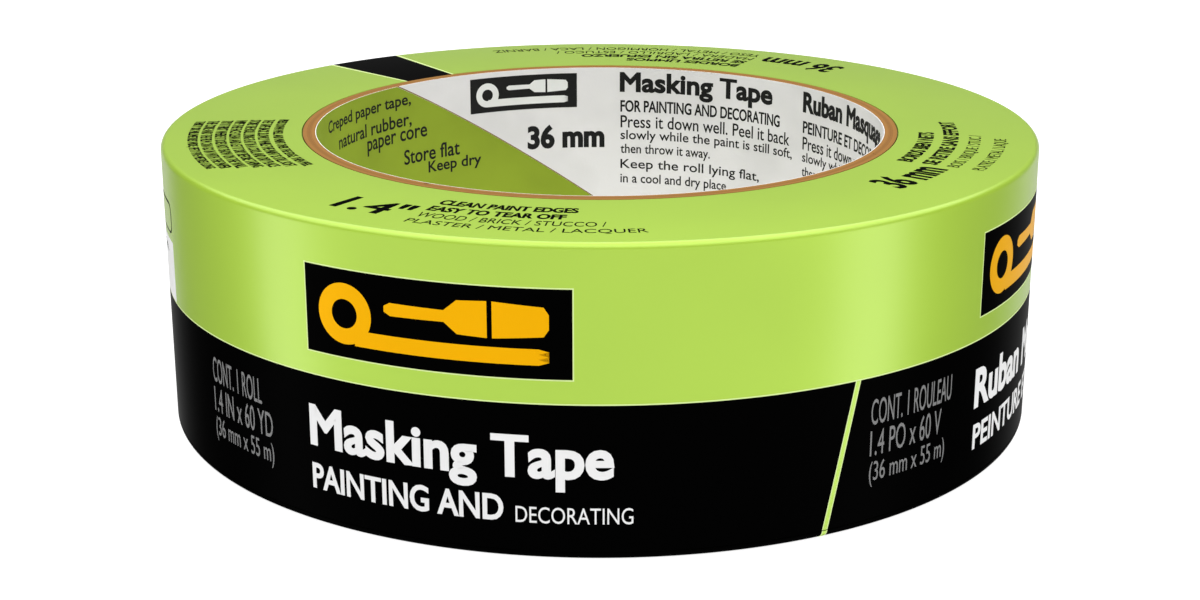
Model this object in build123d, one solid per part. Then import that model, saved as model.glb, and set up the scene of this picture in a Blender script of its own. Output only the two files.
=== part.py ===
from build123d import *
from math import cos, radians
import os

# A film-wrapped roll of masking tape, lying flat. The roll's axis is +Z, the origin is the
# centre of the face that it lies on, and all sizes are in millimetres.

# Driving dimensions
tape_width = 36.0
bore_radius = 38.1            # 76.2 mm (3 inch) core
liner_thickness = 0.1         # printed paper liner inside the core
ply_thickness = 0.55          # each chipboard ply
ply_names = ["core_inner_ply", "core_middle_ply", "core_outer_ply"]
wrap_radius = 58.3            # outside of the film
tape_thickness = 0.2          # the outer turn, backing and adhesive together
film_thickness = 0.12
radial_clearance = 0.2        # between the tape's outer turn and the film
core_overhang = 0.75          # how far the core's ends stand out past the tape's
core_clearance = 0.15         # between the core and the film's inner edge
shoulder_radius = 0.75        # outside radius of the film's rolled edges
tear_gap = 0.1                # the slit that parts the wall from the lower fold
tape_edge_chamfer = 0.15
seam_gap = 0.15               # butt seam between the edges of one spiral-wound ply
seam_lean = 55.6              # degrees from the axis, as the strips are wound
first_seam_angle = 95.0       # degrees round the axis, where the liner's seam crosses mid-height
seam_step = 97.0              # each further ply's seam sits this much further round
tape_end_angle = 58.0         # degrees round the axis, where the tape's free end lies
tape_end_gap = 2.5            # step left in front of the free end, along the turn

# Sizes that follow from them
roll_height = tape_width + 2 * core_overhang
core_radius = bore_radius + liner_thickness + len(ply_names) * ply_thickness
tape_radius = wrap_radius - film_thickness - radial_clearance
winding_radius = tape_radius - tape_thickness
film_edge_radius = core_radius + core_clearance
tear_height = film_thickness + shoulder_radius


def tube(inner_radius, outer_radius, height, bottom=0.0):
    """A plain ring standing on the height given."""
    ring = Circle(outer_radius) - Circle(inner_radius)
    return extrude(Plane.XY.offset(bottom) * ring, height)


def ply(inner_radius, thickness, seam_angle):
    """One spiral-wound strip of the core: a thin tube, parted by its slanted butt seam."""
    seam_length = 2 * roll_height / cos(radians(seam_lean))
    blade = Rot(-seam_lean, 0, 0) * Box(inner_radius, seam_gap, seam_length)
    blade = Pos(inner_radius, 0, roll_height / 2) * blade
    return tube(inner_radius, inner_radius + thickness, roll_height) - Rot(0, 0, seam_angle) * blade


def tape_winding():
    """The turns under the outer one, wound on the core."""
    return tube(core_radius, winding_radius, tape_width, core_overhang)


def tape_outer_turn():
    """The last turn, up to its free end, with its edges rolled in a little by the film."""
    turn = tube(winding_radius, tape_radius, tape_width, core_overhang)
    rims = turn.edges().filter_by(GeomType.CIRCLE).group_by(SortBy.RADIUS)[-1]
    turn = chamfer(rims, tape_edge_chamfer)
    step = Pos(tape_radius, 0, roll_height / 2) * Box(4, tape_end_gap, tape_width + 2)
    return turn - Rot(0, 0, tape_end_angle) * step


def film_shell():
    """The whole film: wall, rolled edges and the fold over each end, as one thin skin."""
    outside = Cylinder(wrap_radius, roll_height)
    outside = fillet(outside.edges().filter_by(GeomType.CIRCLE), shoulder_radius)
    inside = Cylinder(wrap_radius - film_thickness, roll_height - 2 * film_thickness)
    inside = fillet(inside.edges().filter_by(GeomType.CIRCLE), shoulder_radius - film_thickness)
    hole = Cylinder(film_edge_radius, 2 * roll_height)
    return Pos(0, 0, roll_height / 2) * (outside - inside - hole)


def film_above(height):
    """The film from the given height up."""
    width = 3 * wrap_radius
    block = Box(width, width, 2 * roll_height, align=(Align.CENTER, Align.CENTER, Align.MIN))
    return film_shell() & Pos(0, 0, height) * block


def fold_zone():
    """A cylinder that holds the film's flat folds, inside its rolled edges."""
    return Cylinder(wrap_radius - shoulder_radius, 4 * roll_height)


def wrap_wall():
    """The film round the wall, with its upper rolled edge."""
    return film_above(tear_height + tear_gap) - fold_zone()


def wrap_top_fold():
    """The film's flat fold over the upper end, which comes off with the wall."""
    return film_above(tear_height + tear_gap) & fold_zone()


def wrap_bottom_fold():
    """The film's lower fold and rolled edge, which stay under the roll."""
    return film_shell() - film_above(tear_height)


parts = {}
parts["core_liner"] = ply(bore_radius, liner_thickness, first_seam_angle)
for number, name in enumerate(ply_names):
    ply_radius = bore_radius + liner_thickness + number * ply_thickness
    parts[name] = ply(ply_radius, ply_thickness, first_seam_angle + (number + 1) * seam_step)
parts["tape_winding"] = tape_winding()
parts["tape_outer_turn"] = tape_outer_turn()
parts["wrap_wall"] = wrap_wall()
parts["wrap_top_fold"] = wrap_top_fold()
parts["wrap_bottom_fold"] = wrap_bottom_fold()

os.makedirs("parts", exist_ok=True)
for name, shape in parts.items():
    shape.label = name
    export_step(shape, "parts/" + name + ".step")
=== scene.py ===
# %% [markdown]
# # A wrapped roll of masking tape
# This lesson dresses a finished CAD model of a tape roll: a printed film wrap, the cardboard
# core with its printed liner, and the creped tape that shows once the wrap is lifted off.
# The frame gives every size, so nothing here is measured twice.

# %% Load the frame
import bmesh
import bpy
import math
from mathutils import Matrix, Vector


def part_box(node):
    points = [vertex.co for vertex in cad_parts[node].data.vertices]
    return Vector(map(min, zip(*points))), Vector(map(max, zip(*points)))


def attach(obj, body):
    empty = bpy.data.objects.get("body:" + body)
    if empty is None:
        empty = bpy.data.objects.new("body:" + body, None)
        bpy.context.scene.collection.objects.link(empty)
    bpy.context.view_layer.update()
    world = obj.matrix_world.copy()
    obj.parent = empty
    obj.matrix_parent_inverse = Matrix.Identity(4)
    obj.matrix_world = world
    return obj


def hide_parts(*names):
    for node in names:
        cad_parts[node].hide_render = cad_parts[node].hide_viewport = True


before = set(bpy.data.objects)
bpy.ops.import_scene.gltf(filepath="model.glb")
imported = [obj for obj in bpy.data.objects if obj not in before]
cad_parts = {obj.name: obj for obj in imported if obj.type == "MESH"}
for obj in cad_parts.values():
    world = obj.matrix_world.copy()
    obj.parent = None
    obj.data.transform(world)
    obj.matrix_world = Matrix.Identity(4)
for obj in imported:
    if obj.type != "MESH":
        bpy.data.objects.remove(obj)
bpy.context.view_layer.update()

# %% [markdown]
# ## Sizes from the frame
# A node's box gives its outside radius and its height. Blender works in metres, so a small
# unit, MM, keeps the sizes of thin things readable. No box gives a skin's thickness or the
# radius of a rolled edge, so those few are named here.

# %% Read the main sizes
MM = 0.001
wrap_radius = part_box("wrap_wall")[1].x
roll_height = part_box("wrap_wall")[1].z
tear_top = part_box("wrap_wall")[0].z
tear_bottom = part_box("wrap_bottom_fold")[1].z
core_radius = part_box("core_outer_ply")[1].x
liner_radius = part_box("core_liner")[1].x
liner_thickness = 0.1 * MM
bore_radius = liner_radius - liner_thickness
film_thickness = 0.12 * MM
fold_edge_radius = core_radius + 0.15 * MM
shoulder_radius = 0.75 * MM
print("wrap radius", round(wrap_radius / MM, 2), "height", round(roll_height / MM, 2), "mm")
print("bore radius", round(bore_radius / MM, 2), "mm")

# %% [markdown]
# ## Node groups for surfaces
# Film, ink, paper and board all need small unevenness. A shared node group holds a pattern once,
# and each material gives it its own values. It reads Object coordinates, so that the
# pattern stays on the piece when the piece moves.

# %% Helpers for node trees
def add_node(tree, kind, **values):
    """Add a node and set its plain properties."""
    node = tree.nodes.new(kind)
    for key, value in values.items():
        setattr(node, key, value)
    return node


def math_node(tree, operation, first, second=None):
    """Place a Math node, whose inputs are sockets or numbers, and give its result."""
    node = add_node(tree, "ShaderNodeMath", operation=operation)
    for socket, value in zip(node.inputs, (first, second)):
        if value is None:
            continue
        if isinstance(value, (int, float)):
            socket.default_value = value
        else:
            tree.links.new(value, socket)
    return node.outputs[0]


def noise(tree, vector, scale, detail=2.0):
    """A noise pattern on the coordinates given."""
    node = add_node(tree, "ShaderNodeTexNoise")
    tree.links.new(vector, node.inputs["Vector"])
    node.inputs["Detail"].default_value = detail
    if isinstance(scale, (int, float)):
        node.inputs["Scale"].default_value = scale
    else:
        tree.links.new(scale, node.inputs["Scale"])
    return node.outputs["Fac"]


def new_group(name, inputs, outputs):
    """An empty node group with float inputs and outputs, and its two end nodes."""
    tree = bpy.data.node_groups.new(name, "ShaderNodeTree")
    for label, start in inputs:
        socket = tree.interface.new_socket(label, in_out="INPUT", socket_type="NodeSocketFloat")
        socket.default_value = start
    for label in outputs:
        tree.interface.new_socket(label, in_out="OUTPUT", socket_type="NodeSocketFloat")
    return tree, tree.nodes.new("NodeGroupInput"), tree.nodes.new("NodeGroupOutput")


# %% [markdown]
# The first group is isotropic: a broad, slow unevenness and a fine grain on top. It suits film
# and ink, whose surface has no direction.

# %% Group: surface grain
def build_surface_grain():
    inputs = (("Broad Scale", 40.0), ("Fine Scale", 1500.0), ("Fine Share", 0.3))
    tree, start, end = new_group("surface_grain", inputs, ("Height", "Shade"))
    place = add_node(tree, "ShaderNodeTexCoord").outputs["Object"]
    broad = noise(tree, place, start.outputs["Broad Scale"])
    fine = noise(tree, place, start.outputs["Fine Scale"], 3.0)
    fine_part = math_node(tree, "MULTIPLY", fine, start.outputs["Fine Share"])
    both = math_node(tree, "ADD", broad, fine_part)
    tree.links.new(both, end.inputs["Height"])
    tree.links.new(broad, end.inputs["Shade"])
    return tree


surface_grain = build_surface_grain()
print("group", surface_grain.name)


# %% [markdown]
# Wound things are different: their marks have a direction. The wrinkles of creped paper lie across
# the strip, so on the roll they stand upright: noise that changes slowly with height gives them.
# The turns of a winding show on its ends as rings, which depend on the distance from the axis.

# %% Group: wound pattern
def build_wound_pattern():
    inputs = (("Round Scale", 2500.0), ("Height Scale", 250.0), ("Ring Scale", 3000.0))
    tree, start, end = new_group("wound_pattern", inputs, ("Side Height", "Ring Height"))
    place = add_node(tree, "ShaderNodeTexCoord").outputs["Object"]
    parts = add_node(tree, "ShaderNodeSeparateXYZ")
    tree.links.new(place, parts.inputs[0])
    upright = add_node(tree, "ShaderNodeCombineXYZ")
    scales = ("Round Scale", "Round Scale", "Height Scale")
    for axis, scale in enumerate(scales):
        scaled = math_node(tree, "MULTIPLY", parts.outputs[axis], start.outputs[scale])
        tree.links.new(scaled, upright.inputs[axis])
    tree.links.new(noise(tree, upright.outputs[0], 1.0, 3.0), end.inputs["Side Height"])
    flat = parts.outputs[:2]
    squares = [math_node(tree, "MULTIPLY", side, side) for side in flat]
    radius = math_node(tree, "SQRT", math_node(tree, "ADD", *squares))
    turns = math_node(tree, "MULTIPLY", radius, start.outputs["Ring Scale"])
    wobble = math_node(tree, "MULTIPLY", noise(tree, place, 90.0), 1.5)
    rings = add_node(tree, "ShaderNodeCombineXYZ")
    tree.links.new(math_node(tree, "ADD", turns, wobble), rings.inputs[0])
    tree.links.new(noise(tree, rings.outputs[0], 1.0, 3.0), end.inputs["Ring Height"])
    return tree


wound_pattern = build_wound_pattern()
print("group", wound_pattern.name)


# %% [markdown]
# ## Printed film
# Shrink film is clear plastic printed from behind. One function makes an ink from its colour
# and gloss. The green is the one that shows the lamps: a part of it shines in its own colour,
# and a clear coat on top adds the pale gleam.

# %% Helper: a shader with a pattern
def new_material(name, roughness):
    """A material with its Principled shader, ready for a pattern."""
    material = bpy.data.materials.new(name)
    material.use_nodes = True
    tree = material.node_tree
    shader = tree.nodes["Principled BSDF"]
    shader.inputs["Roughness"].default_value = roughness
    return material, tree, shader


def place_group(tree, group, **values):
    """Put a node group in a tree with its own values, given with _ for each space."""
    node = add_node(tree, "ShaderNodeGroup", node_tree=group)
    for key, value in values.items():
        node.inputs[key.replace("_", " ")].default_value = value
    return node


def colour_between(tree, factor, low, high):
    """A colour that runs between two, as factor runs from 0.35 to 0.65."""
    ramp = add_node(tree, "ShaderNodeValToRGB")
    ramp.color_ramp.elements[0].position = 0.35
    ramp.color_ramp.elements[1].position = 0.65
    ramp.color_ramp.elements[0].color = (*low, 1)
    ramp.color_ramp.elements[1].color = (*high, 1)
    tree.links.new(factor, ramp.inputs[0])
    return ramp.outputs[0]


def bump(tree, shader, height, distance, strength=1.0):
    """Bend the shading by a height pattern; distance is the pattern's full height in metres."""
    node = add_node(tree, "ShaderNodeBump")
    node.inputs["Strength"].default_value = strength
    node.inputs["Distance"].default_value = distance
    tree.links.new(height, node.inputs["Height"])
    tree.links.new(node.outputs[0], shader.inputs["Normal"])


def shades(colour, spread):
    """The colour a little darker and a little lighter."""
    return [c * (1 - spread) for c in colour], [min(1, c * (1 + spread)) for c in colour]


# %% Make the inks
def film_ink(name, colour, sheen=0.0, roughness=0.3, specular=0.12, spread=0.02):
    """Ink under film: sheen is the share of it that shines in its own colour."""
    material, tree, shader = new_material(name, roughness)
    shader.inputs["Specular IOR Level"].default_value = specular
    shader.inputs["Metallic"].default_value = sheen
    grain = place_group(tree, surface_grain, Broad_Scale=45.0, Fine_Scale=2500.0, Fine_Share=0.02)
    low, high = shades(colour, spread)
    tree.links.new(colour_between(tree, grain.outputs["Shade"], low, high), shader.inputs["Base Color"])
    bump(tree, shader, grain.outputs["Height"], 0.04 * MM)
    return material


green_ink = film_ink("film_green", (0.395, 0.605, 0.055), sheen=0.32, roughness=0.42, specular=0.05)
green_shader = green_ink.node_tree.nodes["Principled BSDF"]
green_shader.inputs["Coat Weight"].default_value = 0.9
green_shader.inputs["Coat Roughness"].default_value = 0.2
black_ink = film_ink("film_black", (0.0005, 0.0005, 0.0005), specular=0.003)
pale_ink = film_ink("film_pale_line", (0.62, 0.76, 0.32), specular=0.05)
amber_ink = film_ink("film_amber", (0.80, 0.39, 0.001), sheen=0.15, specular=0.03)
white_ink = film_ink("film_white", (0.74, 0.74, 0.74), specular=0.05)
grey_ink = film_ink("film_grey", (0.19, 0.19, 0.19), specular=0.05)
print("inks", [m.name for m in (green_ink, black_ink, pale_ink, amber_ink, white_ink, grey_ink)])


# %% [markdown]
# ## Turning a profile
# The wrap and the liner are both thin skins round an axis. A few profile points spun once
# round make either, and 720 half-degree steps keep their edges round in a close view. The points go
# round the skin's section, so the skin is closed and has a real thickness.

# %% Helpers for spun pieces
TURN_STEPS = 720
STEP_ANGLE = 2 * math.pi / TURN_STEPS


def arc_points(centre, radius, start, end, steps=8):
    """Points on an arc of the section, start and end in degrees."""
    points = []
    for step in range(steps + 1):
        angle = math.radians(start + (end - start) * step / steps)
        points.append((centre[0] + radius * math.cos(angle), centre[1] + radius * math.sin(angle)))
    return points


def spin_section(points):
    """Spin a closed section, given as radius and height, once round the roll's axis."""
    bm = bmesh.new()
    corners = [bm.verts.new((radius, 0, height)) for radius, height in points]
    edges = [bm.edges.new(pair) for pair in zip(corners, corners[1:] + corners[:1])]
    bmesh.ops.spin(bm, geom=corners + edges, axis=(0, 0, 1), cent=(0, 0, 0),
                   steps=TURN_STEPS, angle=2 * math.pi, use_merge=True)
    bmesh.ops.remove_doubles(bm, verts=bm.verts, dist=0.001 * MM)
    bmesh.ops.recalc_face_normals(bm, faces=bm.faces)
    return bm


def roll_angle(point):
    """Degrees round the roll, 0 at the front and growing to the right."""
    return math.degrees(math.atan2(point.x, -point.y))


def finish_piece(name, bm, body, materials):
    """Turn a bmesh into a piece that rides on a body, with smooth faces and sharp corners."""
    mesh = bpy.data.meshes.new(name)
    bm.to_mesh(mesh)
    bm.free()
    for material in materials:
        mesh.materials.append(material)
    mesh.shade_smooth()
    mesh.set_sharp_from_angle(angle=math.radians(35))
    piece = bpy.data.objects.new(name, mesh)
    bpy.context.scene.collection.objects.link(piece)
    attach(piece, body)
    print(name, len(mesh.polygons), "faces")
    return piece


# %% [markdown]
# ## The film wrap
# The wrap is green above and black below, with a pale line between them. A black mark, used to
# line up the print, runs out across the upper fold and down the wall. These big areas follow the
# section's rows and the spin's steps, so each is a set of faces with its own ink.

# %% Shape the wrap
colour_line = roll_height / 2
key_width = 0.16 * MM
mark_start, mark_end = -146.0, -134.5
GREEN, BLACK, PALE = range(3)


def wrap_section():
    """The skin's section: outside from the fold's edge down the wall, then back up inside."""
    edge_centre = (wrap_radius - shoulder_radius, roll_height - shoulder_radius)
    outside = [(fold_edge_radius, roll_height)]
    outside += arc_points(edge_centre, shoulder_radius, 90, 0)
    outside += [(wrap_radius, level) for level in (colour_line + key_width, colour_line, tear_top)]
    inner_wall = wrap_radius - film_thickness
    inside = [(inner_wall, tear_top)]
    inside += arc_points(edge_centre, shoulder_radius - film_thickness, 0, 90)
    inside += [(fold_edge_radius, roll_height - film_thickness)]
    return outside + inside


def wrap_zone(centre):
    """The ink of the wrap at a face's centre."""
    angle = roll_angle(centre)
    half_degree = math.degrees(STEP_ANGLE)
    if centre.z < colour_line:
        return BLACK
    if centre.z < colour_line + key_width:
        return PALE
    if mark_start < angle < mark_end:
        return BLACK
    if mark_start - half_degree < angle < mark_end + half_degree:
        return PALE
    return GREEN


film = spin_section(wrap_section())
for face in film.faces:
    face.material_index = wrap_zone(face.calc_center_median())
wrap_film = finish_piece("wrap_film", film, "wrap", (green_ink, black_ink, pale_ink))
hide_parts("wrap_wall", "wrap_top_fold")


# %% [markdown]
# The lower fold stays under the roll when the wrap comes off. It is the same film, so it is
# spun from the mirror of the same section, up to the tear line.

# %% Shape the lower fold
def lower_section():
    """The lower fold's section, from its edge at the core out and up to the tear line."""
    edge_centre = (wrap_radius - shoulder_radius, shoulder_radius)
    outside = [(fold_edge_radius, 0)] + arc_points(edge_centre, shoulder_radius, -90, 0)
    outside += [(wrap_radius, tear_bottom)]
    inside = [(wrap_radius - film_thickness, tear_bottom)]
    inside += arc_points(edge_centre, shoulder_radius - film_thickness, 0, -90)
    inside += [(fold_edge_radius, film_thickness)]
    return outside + inside


lower_skin = spin_section(lower_section())
lower_film = finish_piece("wrap_lower_film", lower_skin, "roll", (black_ink,))
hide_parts("wrap_bottom_fold")


# %% [markdown]
# ## Printing on a curved face
# Each piece of print starts flat, in its own plane, where it is easy to size. It is cut
# into narrow strips, given a hair's thickness and only then bent onto its face: the wall, the
# upper fold, the lower rolled edge or the inside of the bore. The strips are what lets a wide
# shape follow the curve.

# %% Helpers for flat artwork
STRIP_WIDTH = 0.8 * MM
INK_SINK = 0.02 * MM
CUT_SNAP = 0.0001 * MM


def cut_into_strips(bm):
    """Cut flat artwork across, so that it can bend along its length."""
    left = min(v.co.x for v in bm.verts)
    right = max(v.co.x for v in bm.verts)
    for number in range(1, int((right - left) / STRIP_WIDTH) + 1):
        geometry = bm.verts[:] + bm.edges[:] + bm.faces[:]
        place = Vector((left + number * STRIP_WIDTH, 0, 0))
        bmesh.ops.bisect_plane(bm, geom=geometry, plane_co=place, plane_no=(1, 0, 0), dist=CUT_SNAP)


def thicken(bm, ink_height):
    """Give flat artwork a closed thickness, from just under its face to ink_height over it."""
    bmesh.ops.translate(bm, verts=bm.verts, vec=(0, 0, -INK_SINK))
    grown = bmesh.ops.extrude_face_region(bm, geom=bm.faces[:], use_keep_orig=True)
    top = [item for item in grown["geom"] if isinstance(item, bmesh.types.BMVert)]
    bmesh.ops.translate(bm, verts=top, vec=(0, 0, INK_SINK + ink_height))
    bmesh.ops.recalc_face_normals(bm, faces=bm.faces)


def at_angle(angle, radius, height):
    """A point of the roll from its angle in radians, 0 at the front."""
    return Vector((radius * math.sin(angle), -radius * math.cos(angle), height))


def bend_on_wall(bm, degrees, level):
    """Along the wall from an angle, up from a level."""
    for v in bm.verts:
        angle = math.radians(degrees) + v.co.x / wrap_radius
        v.co = at_angle(angle, wrap_radius + v.co.z, level + v.co.y)


def bend_on_fold(bm, degrees, radius):
    """Round the upper fold from an angle, its feet at a radius and its top towards the core."""
    for v in bm.verts:
        angle = math.radians(degrees) + v.co.x / radius
        v.co = at_angle(angle, radius - v.co.y, roll_height + v.co.z)


def bend_on_lower_edge(bm, degrees, level):
    """Down from a level on the lower film, then round its rolled edge."""
    for v in bm.verts:
        angle = math.radians(degrees) + v.co.x / wrap_radius
        lean = max(0, (shoulder_radius - level - v.co.y) / shoulder_radius)
        radius = wrap_radius + v.co.z - (shoulder_radius + v.co.z) * (1 - math.cos(lean))
        height = level + v.co.y
        if lean > 0:
            height = shoulder_radius - (shoulder_radius + v.co.z) * math.sin(lean)
        v.co = at_angle(angle, radius, height)


def bend_in_bore(bm, degrees, level):
    """Along the inside of the bore, to be read from the middle."""
    for v in bm.verts:
        angle = math.radians(degrees) - v.co.x / bore_radius
        v.co = at_angle(angle, bore_radius - v.co.z, level + v.co.y)


# %% [markdown]
# Artwork of one ink on one part ends up in one mesh. A small store keeps a bmesh for each, and
# `stamp` does the whole job for one shape. Inks that lie on others are printed later, so they
# stand a little higher.

# %% Helper: stamp artwork in an ink
print_store = {}
PRINTED_PART = {bend_on_wall: "wrap", bend_on_fold: "wrap", bend_on_lower_edge: "lower",
                bend_in_bore: "liner"}
FIRST_COAT, SECOND_COAT, THIRD_COAT = 0.010 * MM, 0.016 * MM, 0.022 * MM
INK_HEIGHT = {"pale": FIRST_COAT, "panel": FIRST_COAT, "black": SECOND_COAT, "green": THIRD_COAT,
              "amber": THIRD_COAT, "white": THIRD_COAT, "grey": THIRD_COAT}


def stamp(artwork, ink, bend, degrees, level):
    """Print flat artwork in an ink, bent onto the face at an angle and a level."""
    cut_into_strips(artwork)
    thicken(artwork, INK_HEIGHT[ink])
    bend(artwork, degrees, level)
    store = print_store.setdefault((PRINTED_PART[bend], ink), bmesh.new())
    carrier = bpy.data.meshes.new("carrier")
    artwork.to_mesh(carrier)
    artwork.free()
    store.from_mesh(carrier)
    bpy.data.meshes.remove(carrier)


# %% [markdown]
# Two kinds of shape cover most of the print: a plate with optional rounded corners, and
# lettering from Blender's own font. A text object is only a way to the letters: its mesh is
# taken, sized to a height and a width, and the object removed.

# %% Helpers: plates and lettering
def plate(width, height, rounding=0.0):
    """A flat rectangle with its lower left corner at the origin."""
    bm = bmesh.new()
    corners = ((0, 0), (width, 0), (width, height), (0, height))
    bm.faces.new([bm.verts.new((x, y, 0)) for x, y in corners])
    if rounding > 0:
        bmesh.ops.bevel(bm, geom=bm.verts[:], offset=rounding, offset_type="OFFSET", segments=5,
                        profile=0.5, affect="VERTICES", material=-1)
    return bm


def embolden(bm, amount):
    """Make flat letters bolder: every point of their outline moves outwards by this much."""
    moves = {}
    for v in bm.verts:
        normals = []
        for edge in v.link_edges:
            if edge.is_boundary:
                loop = edge.link_loops[0]
                along = loop.link_loop_next.vert.co - loop.vert.co
                normals.append(along.cross(loop.face.normal).normalized())
        if len(normals) == 2:
            sharpness = max(0.4, 1 + normals[0].dot(normals[1]))
            moves[v] = (normals[0] + normals[1]) * amount / sharpness
    for v, move in moves.items():
        v.co += move


def lettering(words, height, width=None, bolder=0.0, steps=4):
    """Words as flat faces, this high and this wide, with their outline moved out by bolder."""
    curve = bpy.data.curves.new("lettering", "FONT")
    curve.body = words
    curve.resolution_u = steps
    text = bpy.data.objects.new("lettering", curve)
    bpy.context.scene.collection.objects.link(text)
    bpy.context.view_layer.update()
    mesh = bpy.data.meshes.new_from_object(text)
    bm = bmesh.new()
    bm.from_mesh(mesh)
    bpy.data.objects.remove(text)
    bpy.data.curves.remove(curve)
    bpy.data.meshes.remove(mesh)
    bmesh.ops.remove_doubles(bm, verts=bm.verts, dist=1e-5)
    low = [min(v.co[axis] for v in bm.verts) for axis in (0, 1)]
    high = [max(v.co[axis] for v in bm.verts) for axis in (0, 1)]
    bmesh.ops.translate(bm, verts=bm.verts, vec=(-low[0], -low[1], 0))
    up = height / (high[1] - low[1])
    across = width / (high[0] - low[0]) if width else up
    bmesh.ops.scale(bm, verts=bm.verts, vec=(across, up, 1))
    bm.normal_update()
    embolden(bm, bolder)
    return bm


# %% [markdown]
# ## The wall's print
# The label repeats round the wall in three languages. Each repeat has a black panel with a sign,
# big white words, two smaller lines, a slim grey size and a slanted line that parts it from the
# next. The sign is a picture of what the roll is for: a roll, a strip torn from it, and a brush.

# %% Artwork: roll, strip and brush
def tape_roll_sign(size):
    """A tape roll seen from its end: a disc with its middle inset and taken out."""
    bm = bmesh.new()
    bmesh.ops.create_circle(bm, cap_ends=True, segments=48, radius=size / 2)
    disc = bm.faces[:]
    bmesh.ops.inset_region(bm, faces=disc, thickness=size * 0.26, use_boundary=True, use_even_offset=True)
    bmesh.ops.delete(bm, geom=disc, context="FACES")
    bmesh.ops.translate(bm, verts=bm.verts, vec=(size / 2, size / 2, 0))
    return bm


def cut_shape(length, height, *outlines):
    """Flat shapes from outlines given in shares of a length and a height."""
    bm = bmesh.new()
    for outline in outlines:
        bm.faces.new([bm.verts.new((x * length, y * height, 0)) for x, y in outline])
    bmesh.ops.triangulate(bm, faces=bm.faces)
    return bm


def torn_strip(length, height):
    """A strip of tape whose right end is torn in teeth."""
    notch = 0.95
    outline = [(0, 0), (notch, 0), (1, 0.18), (notch, 0.36), (1, 0.52), (notch, 0.68), (1, 0.84),
               (notch, 1), (0, 1)]
    return cut_shape(length, height, outline)


def brush_sign(length, height):
    """A flat paint brush: a tapering handle, then bristles."""
    handle = [(0, 0.42), (0.04, 0.32), (0.38, 0.34), (0.46, 0.04), (0.64, 0), (0.64, 1), (0.46, 0.96),
              (0.38, 0.66), (0.04, 0.68), (0, 0.58)]
    tuft = [(0.67, 0), (0.97, 0.10), (1, 0.30), (1, 0.70), (0.97, 0.90), (0.67, 1)]
    return cut_shape(length, height, handle, tuft)


# %% Print the wall
label_pitch = 87.5
panel_size = (32.9 * MM, 10.5 * MM)
panel_low = 21.75 * MM
panel_left, words_left, size_left, divider_place = -35.3, -35.4, -54.8, 26.7
divider_slant = 0.225
divider_widths = {"pale": 0.74 * MM, "green": 0.44 * MM}
divider_foot = 1.2 * MM


def arc_degrees(length, radius=wrap_radius):
    """The angle that a length takes up on the roll."""
    return math.degrees(length / radius)


def print_panel(turn):
    """The black panel with its pale edge and amber signs."""
    left = turn + panel_left
    edge = plate(panel_size[0] + 2 * key_width, panel_size[1] + 2 * key_width)
    stamp(edge, "pale", bend_on_wall, left - arc_degrees(key_width), panel_low - key_width)
    stamp(plate(*panel_size), "black", bend_on_wall, left, panel_low)
    sign_low = panel_low + 1.6 * MM
    signs = ((tape_roll_sign(7.3 * MM), 1.9, 0.0), (torn_strip(23.4 * MM, 1.9 * MM), 6.9, 0.0),
             (brush_sign(19.4 * MM, 4.3 * MM), 10.9, 2.9))
    for sign, across, up in signs:
        stamp(sign, "amber", bend_on_wall, left + arc_degrees(across * MM), sign_low + up * MM)


wall_words = (("Masking Tape", 37.4, "PAINTING AND", "DECORATING", "CONT. 1 ROLL", "1.4 IN x 60 YD"),
              ("Ruban Masquage", 43.0, "PEINTURE ET", "DECORATION", "CONT. 1 ROULEAU", "1.4 PO x 60 V"),
              ("Cinta Adhesiva", 40.0, "PINTURA Y", "DECORACION", "CONT. 1 ROLLO", "1.4 PULG x 60 YD"))


def print_words(turn, big, width, bold, thin, *size_lines):
    """The white words and the slim grey size on the black half."""
    left = turn + words_left
    stamp(lettering(big, 6.3 * MM, width * MM, 0.22 * MM), "white", bend_on_wall, left, 8.5 * MM)
    stamp(lettering(bold, 3.1 * MM, 24.9 * MM, 0.1 * MM), "white", bend_on_wall, left, 4.5 * MM)
    second = left + arc_degrees(26.4 * MM)
    stamp(lettering(thin, 2.0 * MM, 13.4 * MM), "white", bend_on_wall, second, 4.4 * MM)
    for row, words in enumerate((*size_lines, "(36 mm x 55 m)")):
        artwork = lettering(words, 3.2 * MM, len(words) * 0.93 * MM)
        stamp(artwork, "grey", bend_on_wall, turn + size_left, (12.8 - 3.9 * row) * MM)


def slanted_line(width, low, high):
    """An upright line from low to high about its foot, leaning as the label's divider does."""
    line = plate(width, high - low)
    bmesh.ops.translate(line, verts=line.verts, vec=(-width / 2, low, 0))
    slant = Matrix(((1, divider_slant, 0, 0), (0, 1, 0, 0), (0, 0, 1, 0), (0, 0, 0, 1)))
    bmesh.ops.transform(line, matrix=slant, verts=line.verts)
    return line


def print_divider(turn):
    """The slanted line that parts one label from the next, down over the lower film's edge."""
    for ink, width in divider_widths.items():
        line = slanted_line(width, 0, colour_line - tear_top)
        stamp(line, ink, bend_on_wall, turn + divider_place, tear_top)
        foot = slanted_line(width, -divider_foot, 0)
        for step in range(1, 12):
            place = Vector((0, -divider_foot * step / 12, 0))
            geometry = foot.verts[:] + foot.edges[:] + foot.faces[:]
            bmesh.ops.bisect_plane(foot, geom=geometry, plane_co=place, plane_no=(0, 1, 0), dist=CUT_SNAP)
        stamp(foot, ink, bend_on_lower_edge, turn + divider_place, tear_bottom)


for repeat, words in enumerate(wall_words):
    print_panel(repeat * label_pitch)
    print_words(repeat * label_pitch, *words)
    print_divider(repeat * label_pitch)
print("labels", len(wall_words), "pitch", label_pitch)

# %% [markdown]
# Where the labels leave room, at the left and the back, a white panel carries the care lines,
# with a rounded sign above it.

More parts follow.
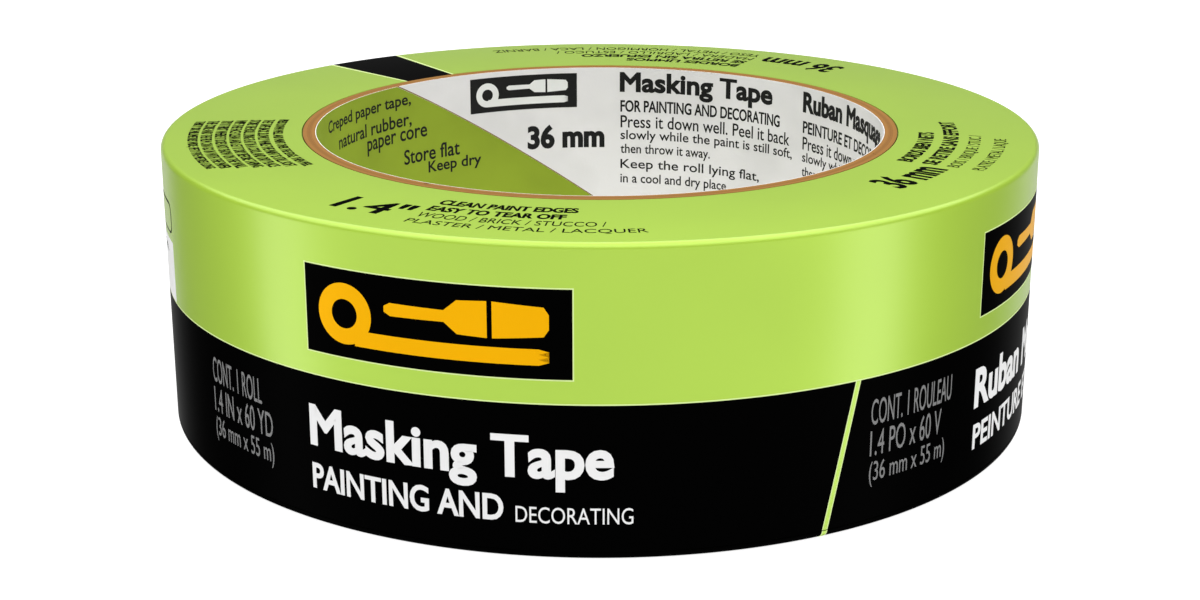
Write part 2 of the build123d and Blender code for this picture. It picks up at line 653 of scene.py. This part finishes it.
# %% Print the side panel
def print_side_panel():
    right = -68.5
    width, height = 50 * MM, 7.9 * MM
    left, low = right - arc_degrees(width), colour_line + key_width
    stamp(plate(width, height), "panel", bend_on_wall, left, low)
    care = ("Press the tape down with a finger or a clean cloth.",
            "Peel it back slowly and evenly.", "Keep the roll flat, cool and dry.")
    for row, words in enumerate(care):
        artwork = lettering(words, 1.5 * MM, (len(words) * 0.86) * MM, steps=2)
        stamp(artwork, "black", bend_on_wall, left + arc_degrees(2 * MM), low + (5.4 - 2.2 * row) * MM)
    sign_width, sign_height, rim = 9 * MM, 4.2 * MM, 0.3 * MM
    sign_left, sign_low = right - arc_degrees(sign_width), low + 8.9 * MM
    stamp(plate(sign_width, sign_height, 1.4 * MM), "black", bend_on_wall, sign_left, sign_low)
    inner = plate(sign_width - 2 * rim, sign_height - 2 * rim, 1.1 * MM)
    stamp(inner, "green", bend_on_wall, sign_left + arc_degrees(rim), sign_low + rim)


print_side_panel()


# %% [markdown]
# ## The upper fold's print
# Three sets of print follow the fold round, each in its own language: a bold size and four lines
# beside it. Between two of them is a block of very small print.

# %% Print the upper fold
bold_rows = 2


def print_fold_set(start, first_radius, row_step, size, size_place, size_width, lines):
    """One set: the size at its angle and radius, then lines of print, the first two bolder."""
    artwork = lettering(size, 4.9 * MM, size_width * MM, 0.16 * MM)
    stamp(artwork, "black", bend_on_fold, size_place[0], size_place[1] * MM)
    for row, (words, length) in enumerate(lines):
        bolder = 0.09 * MM if row < bold_rows else 0.0
        artwork = lettering(words, 1.9 * MM, length * MM, bolder)
        stamp(artwork, "black", bend_on_fold, start, (first_radius + row * row_step) * MM)


fine_lines = ("press down well and paint over the edge, then peel",
              "the tape back slowly while the paint is still soft",
              "store the roll lying flat in a cool and dry place",
              "wipe the face clean and let it dry before taping",
              "try it first where it does not show on the wall",
              "the core and the film can go in with the paper",
              "thirty six millimetres wide, fifty five metres long")


def print_fine_block():
    """Seven short lines of very small print."""
    for row, words in enumerate(fine_lines):
        artwork = lettering(words.upper(), 1.45 * MM, 27.5 * MM, 0.05 * MM, steps=2)
        stamp(artwork, "black", bend_on_fold, -93.0 + 0.3 * row, (43.9 + 1.85 * row) * MM)


# Each line has its length in mm; each set its angle, first radius and row step, then its size.
english = (("CLEAN PAINT EDGES", 16.8), ("EASY TO TEAR OFF", 16.6), ("WOOD / BRICK / STUCCO /", 22.5),
           ("PLASTER / METAL / LACQUER", 28.4))
french = (("BORDS BIEN NETS", 17.0), ("SE RETIRE SANS EFFORT", 25.0), ("BOIS / BRIQUE / STUC /", 18.5),
          ("PLATRE / METAL / LAQUE", 18.0))
spanish = (("BORDES LIMPIOS", 18.1), ("SE RETIRA SIN ESFUERZO", 26.7),
           ("MADERA / LADRILLO / ESTUCO /", 32.3), ("YESO / METAL / HORMIGON / LACA / BARNIZ", 44.0))
fold_sets = ((-24.2, 45.8, 2.85, '1.4"', (-36.4, 52.6), 9.6, english),
             (61.0, 44.6, 3.25, "36 mm", (46.0, 50.0), 11.4, french),
             (152.0, 45.9, 2.85, "36 mm", (135.5, 53.4), 13.6, spanish))
for fold_set in fold_sets:
    print_fold_set(*fold_set)
print_fine_block()

# %% [markdown]
# ## The core's liner
# The innermost ply is a printed paper strip, wound at a slant, so its two edges meet in a
# slanted butt seam. A full tube is spun, and two cuts with a flat blade, a hair apart, part it
# on one side only; what lies between them is taken out and the cut faces are filled.
# Half of the strip is printed green, so the far side gets one cut too, as the colours' edge.

# %% Shape the liner
seam_angle = 185.0
seam_lean = math.radians(55.6)
seam_gap = 0.15 * MM
mid_height = Vector((0, 0, roll_height / 2))


def blade_normal(angle):
    """The direction across a slanted cut at this angle, towards growing angles."""
    onwards = Vector((math.cos(math.radians(angle)), math.sin(math.radians(angle)), 0))
    return onwards * math.cos(seam_lean) - Vector((0, 0, 1)) * math.sin(seam_lean)


def side_of(angle, point):
    """Positive for points on the half of the roll round this angle."""
    return point.dot(at_angle(math.radians(angle), 1, 0))


def cut_slanted(bm, angle, shift):
    """Cut the tube with a slanted blade at one side of the roll only."""
    faces = [face for face in bm.faces if side_of(angle, face.calc_center_median()) > 0]
    edges = {edge for face in faces for edge in face.edges}
    verts = {v for face in faces for v in face.verts}
    normal = blade_normal(angle)
    bmesh.ops.bisect_plane(bm, geom=faces + list(edges) + list(verts), dist=1e-8,
                           plane_co=mid_height + normal * shift, plane_no=normal)


liner_tube = [(bore_radius, 0), (liner_radius, 0), (liner_radius, roll_height),
              (bore_radius, roll_height)]
liner = spin_section(liner_tube)
cut_slanted(liner, seam_angle, seam_gap / 2)
cut_slanted(liner, seam_angle, -seam_gap / 2)
cut_slanted(liner, seam_angle + 180, 0)
print("liner cut to", len(liner.faces), "faces")

# %% Open the seam and colour the halves
seam_across, edge_across = blade_normal(seam_angle), blade_normal(seam_angle + 180)


def in_seam(face):
    """Whether a face lies in the gap of the butt seam."""
    middle = face.calc_center_median()
    across = abs(seam_across.dot(middle - mid_height))
    return side_of(seam_angle, middle) > 0 and across < seam_gap / 2


def is_green(face):
    """The green half runs from the seam onwards to the colours' edge."""
    middle = face.calc_center_median()
    if side_of(seam_angle, middle) > 0:
        return seam_across.dot(middle - mid_height) > 0
    return edge_across.dot(middle - mid_height) < 0


bmesh.ops.delete(liner, geom=[face for face in liner.faces if in_seam(face)], context="FACES")
open_edges = [edge for edge in liner.edges if edge.is_boundary]
bmesh.ops.holes_fill(liner, edges=open_edges, sides=0)
bmesh.ops.recalc_face_normals(liner, faces=liner.faces)
GREEN_HALF, GREY_HALF, CUT_EDGE = range(3)
for face in liner.faces:
    face.material_index = GREEN_HALF if is_green(face) else GREY_HALF
    if abs(face.normal.z) > 0.5:
        face.material_index = CUT_EDGE
print("open edges left", sum(edge.is_boundary for edge in liner.edges))


# %% [markdown]
# The liner's print is laid in the bore. Its ink has no gloss, because it sits on bare paper, and
# the paper's cut ends stay white. Paper has fibres, so its inks and its ground share the grain
# group with a stronger fine part.

# %% Make the paper inks
def paper_ink(name, colour, spread=0.05):
    material, tree, shader = new_material(name, 0.75)
    shader.inputs["Specular IOR Level"].default_value = 0.25
    grain = place_group(tree, surface_grain, Broad_Scale=120.0, Fine_Scale=3000.0, Fine_Share=0.8)
    low, high = shades(colour, spread)
    tree.links.new(colour_between(tree, grain.outputs["Shade"], low, high), shader.inputs["Base Color"])
    bump(tree, shader, grain.outputs["Height"], 0.02 * MM)
    return material


liner_green = paper_ink("liner_green", (0.26, 0.35, 0.022))
liner_grey = paper_ink("liner_grey", (0.77, 0.75, 0.77))
liner_black = paper_ink("liner_black", (0.006, 0.006, 0.006))
liner_white = paper_ink("liner_white", (0.80, 0.80, 0.80))
liner_coats = (liner_green, liner_grey, liner_white)
core_liner = finish_piece("printed_liner", liner, "roll", liner_coats)
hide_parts("core_liner")

# %% Print the liner
def liner_line(words, start, level, height, width, bolder=0.0):
    """A line of print in the bore, from its left end; sizes in mm."""
    artwork = lettering(words, height * MM, width * MM, bolder * MM)
    stamp(artwork, "black", bend_in_bore, start, level * MM)


def liner_block(start, top_words, under_words):
    """A bold heading, a line in capitals, three lines and, lower, two more."""
    liner_line(top_words, start, 33.0, 3.7, 24.8, 0.16)
    liner_line(under_words, start, 30.7, 1.75, 26.4, 0.05)
    rows = (("Press it down well. Peel it back", 28.2, 28.4),
            ("slowly while the paint is still soft,", 25.9, 29.0), ("then throw it away.", 23.7, 14.2),
            ("Keep the roll lying flat,", 21.3, 22.8), ("in a cool and dry place.", 19.0, 17.4))
    for words, level, width in rows:
        liner_line(words, start, level, 1.9, width, 0.02)


def print_liner():
    """The green half's lines, the black panel with its sign, the size and two blocks of print."""
    green_rows = (("Creped paper tape,", -99.4, 34.0, 22.2), ("natural rubber,", -105.5, 31.1, 18.2),
                  ("paper core", -118.0, 28.5, 12.8), ("Store flat", -130.4, 25.5, 10.4),
                  ("Keep dry", -137.5, 23.0, 9.3))
    for words, start, level, width in green_rows:
        liner_line(words, start, level, 2.2, width, 0.04)
    stamp(plate(17.0 * MM, 5.3 * MM), "black", bend_in_bore, -149.1, 31.4 * MM)
    stamp(tape_roll_sign(3.7 * MM), "white", bend_in_bore, -150.6, 32.2 * MM)
    stamp(torn_strip(12.6 * MM, 1.1 * MM), "white", bend_in_bore, -153.6, 32.2 * MM)
    stamp(brush_sign(9.6 * MM, 2.0 * MM), "white", bend_in_bore, -158.1, 33.9 * MM)
    liner_line("36 mm", -163.3, 25.2, 3.3, 11.6, 0.2)
    liner_block(175.2, "Masking Tape", "FOR PAINTING AND DECORATING")
    liner_block(128.3, "Ruban Masquage", "PEINTURE ET DECORATION")


print_liner()

# %% [markdown]
# Each ink now becomes one piece on each part. The wrap's inks ride on the wrap, and go up with
# it; the liner's and the lower film's stay with the roll.

# %% Turn the stored print into pieces
film_inks = {"pale": pale_ink, "black": black_ink, "amber": amber_ink, "white": white_ink,
             "grey": grey_ink, "green": green_ink, "panel": white_ink}
liner_inks = {"black": liner_black, "white": liner_white}
carriers = {"wrap": ("wrap", "printed_film", film_inks), "lower": ("roll", "printed_film", film_inks),
            "liner": ("roll", "liner_paper", liner_inks)}
for (part, ink), store in sorted(print_store.items()):
    body, slot_name, inks = carriers[part]
    finish_piece("print_" + part + "_" + ink, store, body, (inks[ink],))


# %% [markdown]
# ## Chipboard and creped tape
# These are CAD nodes whose shape is right, so they keep their meshes and only get a finish.
# Chipboard is brown recycled paper, speckled and dull. Each ply is a slightly different brown, so
# that the lines between them show on the core's end.

# %% Make the chipboard
def chipboard(name, colour):
    material, tree, shader = new_material(name, 0.9)
    shader.inputs["Specular IOR Level"].default_value = 0.2
    fibre = place_group(tree, wound_pattern, Round_Scale=900.0, Height_Scale=3500.0, Ring_Scale=9000.0)
    low, high = shades(colour, 0.14)
    speckled = colour_between(tree, fibre.outputs["Ring Height"], low, high)
    tree.links.new(speckled, shader.inputs["Base Color"])
    bump(tree, shader, fibre.outputs["Side Height"], 0.05 * MM)
    return material


def dress(node, material):
    """Give a CAD node a finish."""
    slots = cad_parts[node].material_slots
    for slot in slots:
        slot.material = material
    print(node, "dressed with", material.name, "in", len(slots), "slots")


ply_tones = {"core_inner_ply": (0.285, 0.135, 0.032), "core_middle_ply": (0.235, 0.108, 0.025),
             "core_outer_ply": (0.275, 0.13, 0.030)}
for node, tone in ply_tones.items():
    dress(node, chipboard("chipboard_" + node, tone))


# %% [markdown]
# Creped tape is paper that was wrinkled while damp so that it can stretch. Its wrinkles stand
# upright on the roll, a few for each millimetre; the strip's cut edge shows as fine rings.

# %% Make the tape
def creped_tape(name, colour):
    material, tree, shader = new_material(name, 0.6)
    shader.inputs["Specular IOR Level"].default_value = 0.35
    crepe = place_group(tree, wound_pattern, Round_Scale=2600.0, Height_Scale=260.0, Ring_Scale=4500.0)
    both = math_node(tree, "ADD", crepe.outputs["Side Height"], crepe.outputs["Ring Height"])
    half = math_node(tree, "MULTIPLY", both, 0.5)
    low, high = shades(colour, 0.16)
    tree.links.new(colour_between(tree, half, low, high), shader.inputs["Base Color"])
    bump(tree, shader, half, 0.12 * MM)
    return material


tape_finish = creped_tape("creped_green", (0.36, 0.52, 0.10))
for node in ("tape_winding", "tape_outer_turn"):
    dress(node, tape_finish)


# %% [markdown]
# ## Floor, light and camera
# The roll lies on a white table in a white room. The floor glows a little, so that it stays
# white under the roll's edge, and glossy film doesn't mirror it: a table of light tiles would
# hide the studio's lamps, which reach below the roll's level.

# %% Floor
floor_mesh = bmesh.new()
bmesh.ops.create_grid(floor_mesh, x_segments=1, y_segments=1, size=3.0)
floor_data = bpy.data.meshes.new("floor")
floor_mesh.to_mesh(floor_data)
floor_mesh.free()
floor = bpy.data.objects.new("floor", floor_data)
bpy.context.scene.collection.objects.link(floor)
floor.visible_glossy = False
floor_paint, _, floor_shader = new_material("floor_white", 0.9)
floor_shader.inputs["Base Color"].default_value = (0.35, 0.35, 0.35, 1)
floor_shader.inputs["Specular IOR Level"].default_value = 0.0
floor_shader.inputs["Emission Color"].default_value = (1, 1, 1, 1)
floor_shader.inputs["Emission Strength"].default_value = 0.85
floor_data.materials.append(floor_paint)


# %% [markdown]
# The studio is painted on the world: soft light all round and stronger light from above, an
# upright strip lamp at either side, and behind each a dark flat that deepens the shade next to
# the lamp's reflection. Each list pairs a place, an angle round the roll or a rise from straight
# down to straight up, with a brightness; ring_shares has the share of the ring's light that is
# left at a rise. The camera itself sees plain white there.

# %% Studio light
def brightness_ramp(tree, factor, stops, top):
    """Brightness along a factor, from stops of place and brightness up to top."""
    ramp = add_node(tree, "ShaderNodeValToRGB")
    elements = ramp.color_ramp.elements
    elements[0].position, elements[-1].position = stops[0][0], stops[-1][0]
    for place, brightness in stops[1:-1]:
        elements.new(place)
    for element, (place, brightness) in zip(elements, stops):
        element.color = (*([brightness / top] * 3), 1)
    tree.links.new(factor, ramp.inputs[0])
    return math_node(tree, "MULTIPLY", ramp.outputs[0], top)


def turn_place(degrees):
    """Where an angle round the roll lies on a ramp that runs once round from behind."""
    return degrees / 360 + 0.5


world = bpy.data.worlds.new("studio")
world.use_nodes = True
sky = world.node_tree
way = add_node(sky, "ShaderNodeTexCoord").outputs["Generated"]
along = add_node(sky, "ShaderNodeSeparateXYZ")
sky.links.new(way, along.inputs[0])
toward_front = math_node(sky, "MULTIPLY", along.outputs[1], -1.0)
round_angle = math_node(sky, "ARCTAN2", along.outputs[0], toward_front)
round_place = math_node(sky, "ADD", math_node(sky, "DIVIDE", round_angle, 2 * math.pi), 0.5)
dim_back, dark_flat, soft_front, left_lamp, right_lamp = 0.6, 0.1, 0.95, 2.3, 2.7
around = [(-180, dim_back), (-150, dim_back), (-136, dark_flat), (-108, 0.08), (-98, 0.2), (-90, left_lamp),
          (-81, left_lamp), (-71, 0.9), (-60, soft_front), (40, 0.97), (56, 0.9), (66, right_lamp),
          (76, right_lamp), (85, 0.5), (93, dark_flat), (120, dark_flat), (140, dim_back), (180, dim_back)]
strip_top = right_lamp
overhead = [(0.0, 0.0), (0.72, 0.0), (0.79, 1.7), (0.92, 1.9), (0.945, 2.7), (0.965, 2.7), (1.0, 1.5)]
ring_shares = [(0.0, 1.0), (0.46, 1.0), (0.56, 0.25), (0.80, 0.2), (1.0, 0.1)]
ring_light = brightness_ramp(sky, round_place, [(turn_place(a), b) for a, b in around], strip_top)
rise = math_node(sky, "ADD", math_node(sky, "MULTIPLY", along.outputs[2], 0.5), 0.5)
above = brightness_ramp(sky, rise, overhead, 2.7)
below_share = brightness_ramp(sky, rise, ring_shares, 1.0)
studio = math_node(sky, "ADD", math_node(sky, "MULTIPLY", ring_light, below_share), above)
seen = add_node(sky, "ShaderNodeLightPath").outputs["Is Camera Ray"]
chosen_light = add_node(sky, "ShaderNodeMix", data_type="FLOAT")
sky.links.new(seen, chosen_light.inputs["Factor"])
sky.links.new(studio, chosen_light.inputs["A"])
chosen_light.inputs["B"].default_value = 1.0
sky.links.new(chosen_light.outputs["Result"], sky.nodes["Background"].inputs["Strength"])
sky.nodes["Background"].inputs["Color"].default_value = (1, 1, 1, 1)
bpy.context.scene.world = world
bpy.context.scene.view_settings.view_transform = "Standard"

# %% [markdown]
# The camera looks down on the roll by about eighteen degrees, from not quite 0.3 m away.

# %% Camera
camera_distance = 0.2855
camera_elevation = math.radians(17.79)
camera_target = Vector((0, 0, 0.0124))
lens_data = bpy.data.cameras.new("camera")
lens_data.sensor_width = 36
lens_data.lens = 61.6
lens_data.clip_start = 0.01
camera = bpy.data.objects.new("camera", lens_data)
back = Vector((0, -math.cos(camera_elevation), math.sin(camera_elevation)))
camera.location = camera_target + back * camera_distance
camera.rotation_mode = "QUATERNION"
camera.rotation_quaternion = (-back).to_track_quat("-Z", "Y")
bpy.context.scene.collection.objects.link(camera)
bpy.context.scene.camera = camera
